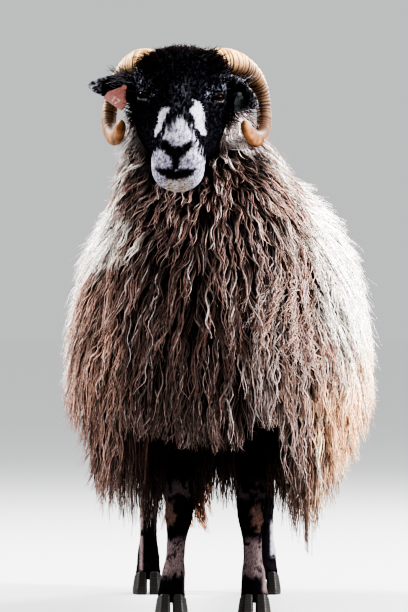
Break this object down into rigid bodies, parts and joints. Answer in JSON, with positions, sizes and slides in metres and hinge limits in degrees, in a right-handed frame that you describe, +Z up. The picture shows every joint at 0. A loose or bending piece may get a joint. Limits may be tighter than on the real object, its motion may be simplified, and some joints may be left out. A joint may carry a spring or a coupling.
{
  "type": "horned hill sheep",
  "caption": "Standing horned ewe with a long wavy brown and cream fleece, black and white face, mottled legs, woolly tail and an ear tag in each ear.",
  "frame": {"origin": "the floor point under the middle of her outline", "axes": "+Z up, she faces -Y, her left side is +X"},
  "size_m": [0.5361, 1.0731, 0.9717],
  "materials": {
    "fleece_cream": "long wavy cream locks with lanolin sheen at the tips",
    "fleece_brown": "long wavy weathered brown locks, paler where the light catches them",
    "tail_wool": "rust-brown stained woolly locks",
    "face_hair": "short black hair with white blazes and a white muzzle",
    "leg_hair": "short black and grey mottled hair",
    "eye": "wet dark amber eye with a level slot pupil",
    "horn": "ridged pale horn, smooth amber towards the tip",
    "hoof": "dull dark hoof horn",
    "tag_orange": "weathered salmon-orange flap tag with plain digits",
    "tag_green": "dark green flap tag"
  },
  "bodies": {
    "root": {"trunk": "fleece_cream", "neck": "fleece_brown", "tail": "tail_wool", "head": "face_hair", "ear_left": "face_hair", "ear_right": "face_hair", "eye_left": "eye", "eye_right": "eye", "horn_left": "horn", "horn_right": "horn", "tag_orange": "tag_orange", "tag_green": "tag_green", "leg_front_left": "leg_hair", "hoof_front_left_outer": "hoof", "hoof_front_left_inner": "hoof", "leg_front_right": "leg_hair", "hoof_front_right_outer": "hoof", "hoof_front_right_inner": "hoof", "leg_rear_left": "leg_hair", "hoof_rear_left_outer": "hoof", "hoof_rear_left_inner": "hoof", "leg_rear_right": "leg_hair", "hoof_rear_right_outer": "hoof", "hoof_rear_right_inner": "hoof"}
  },
  "joints": []
}
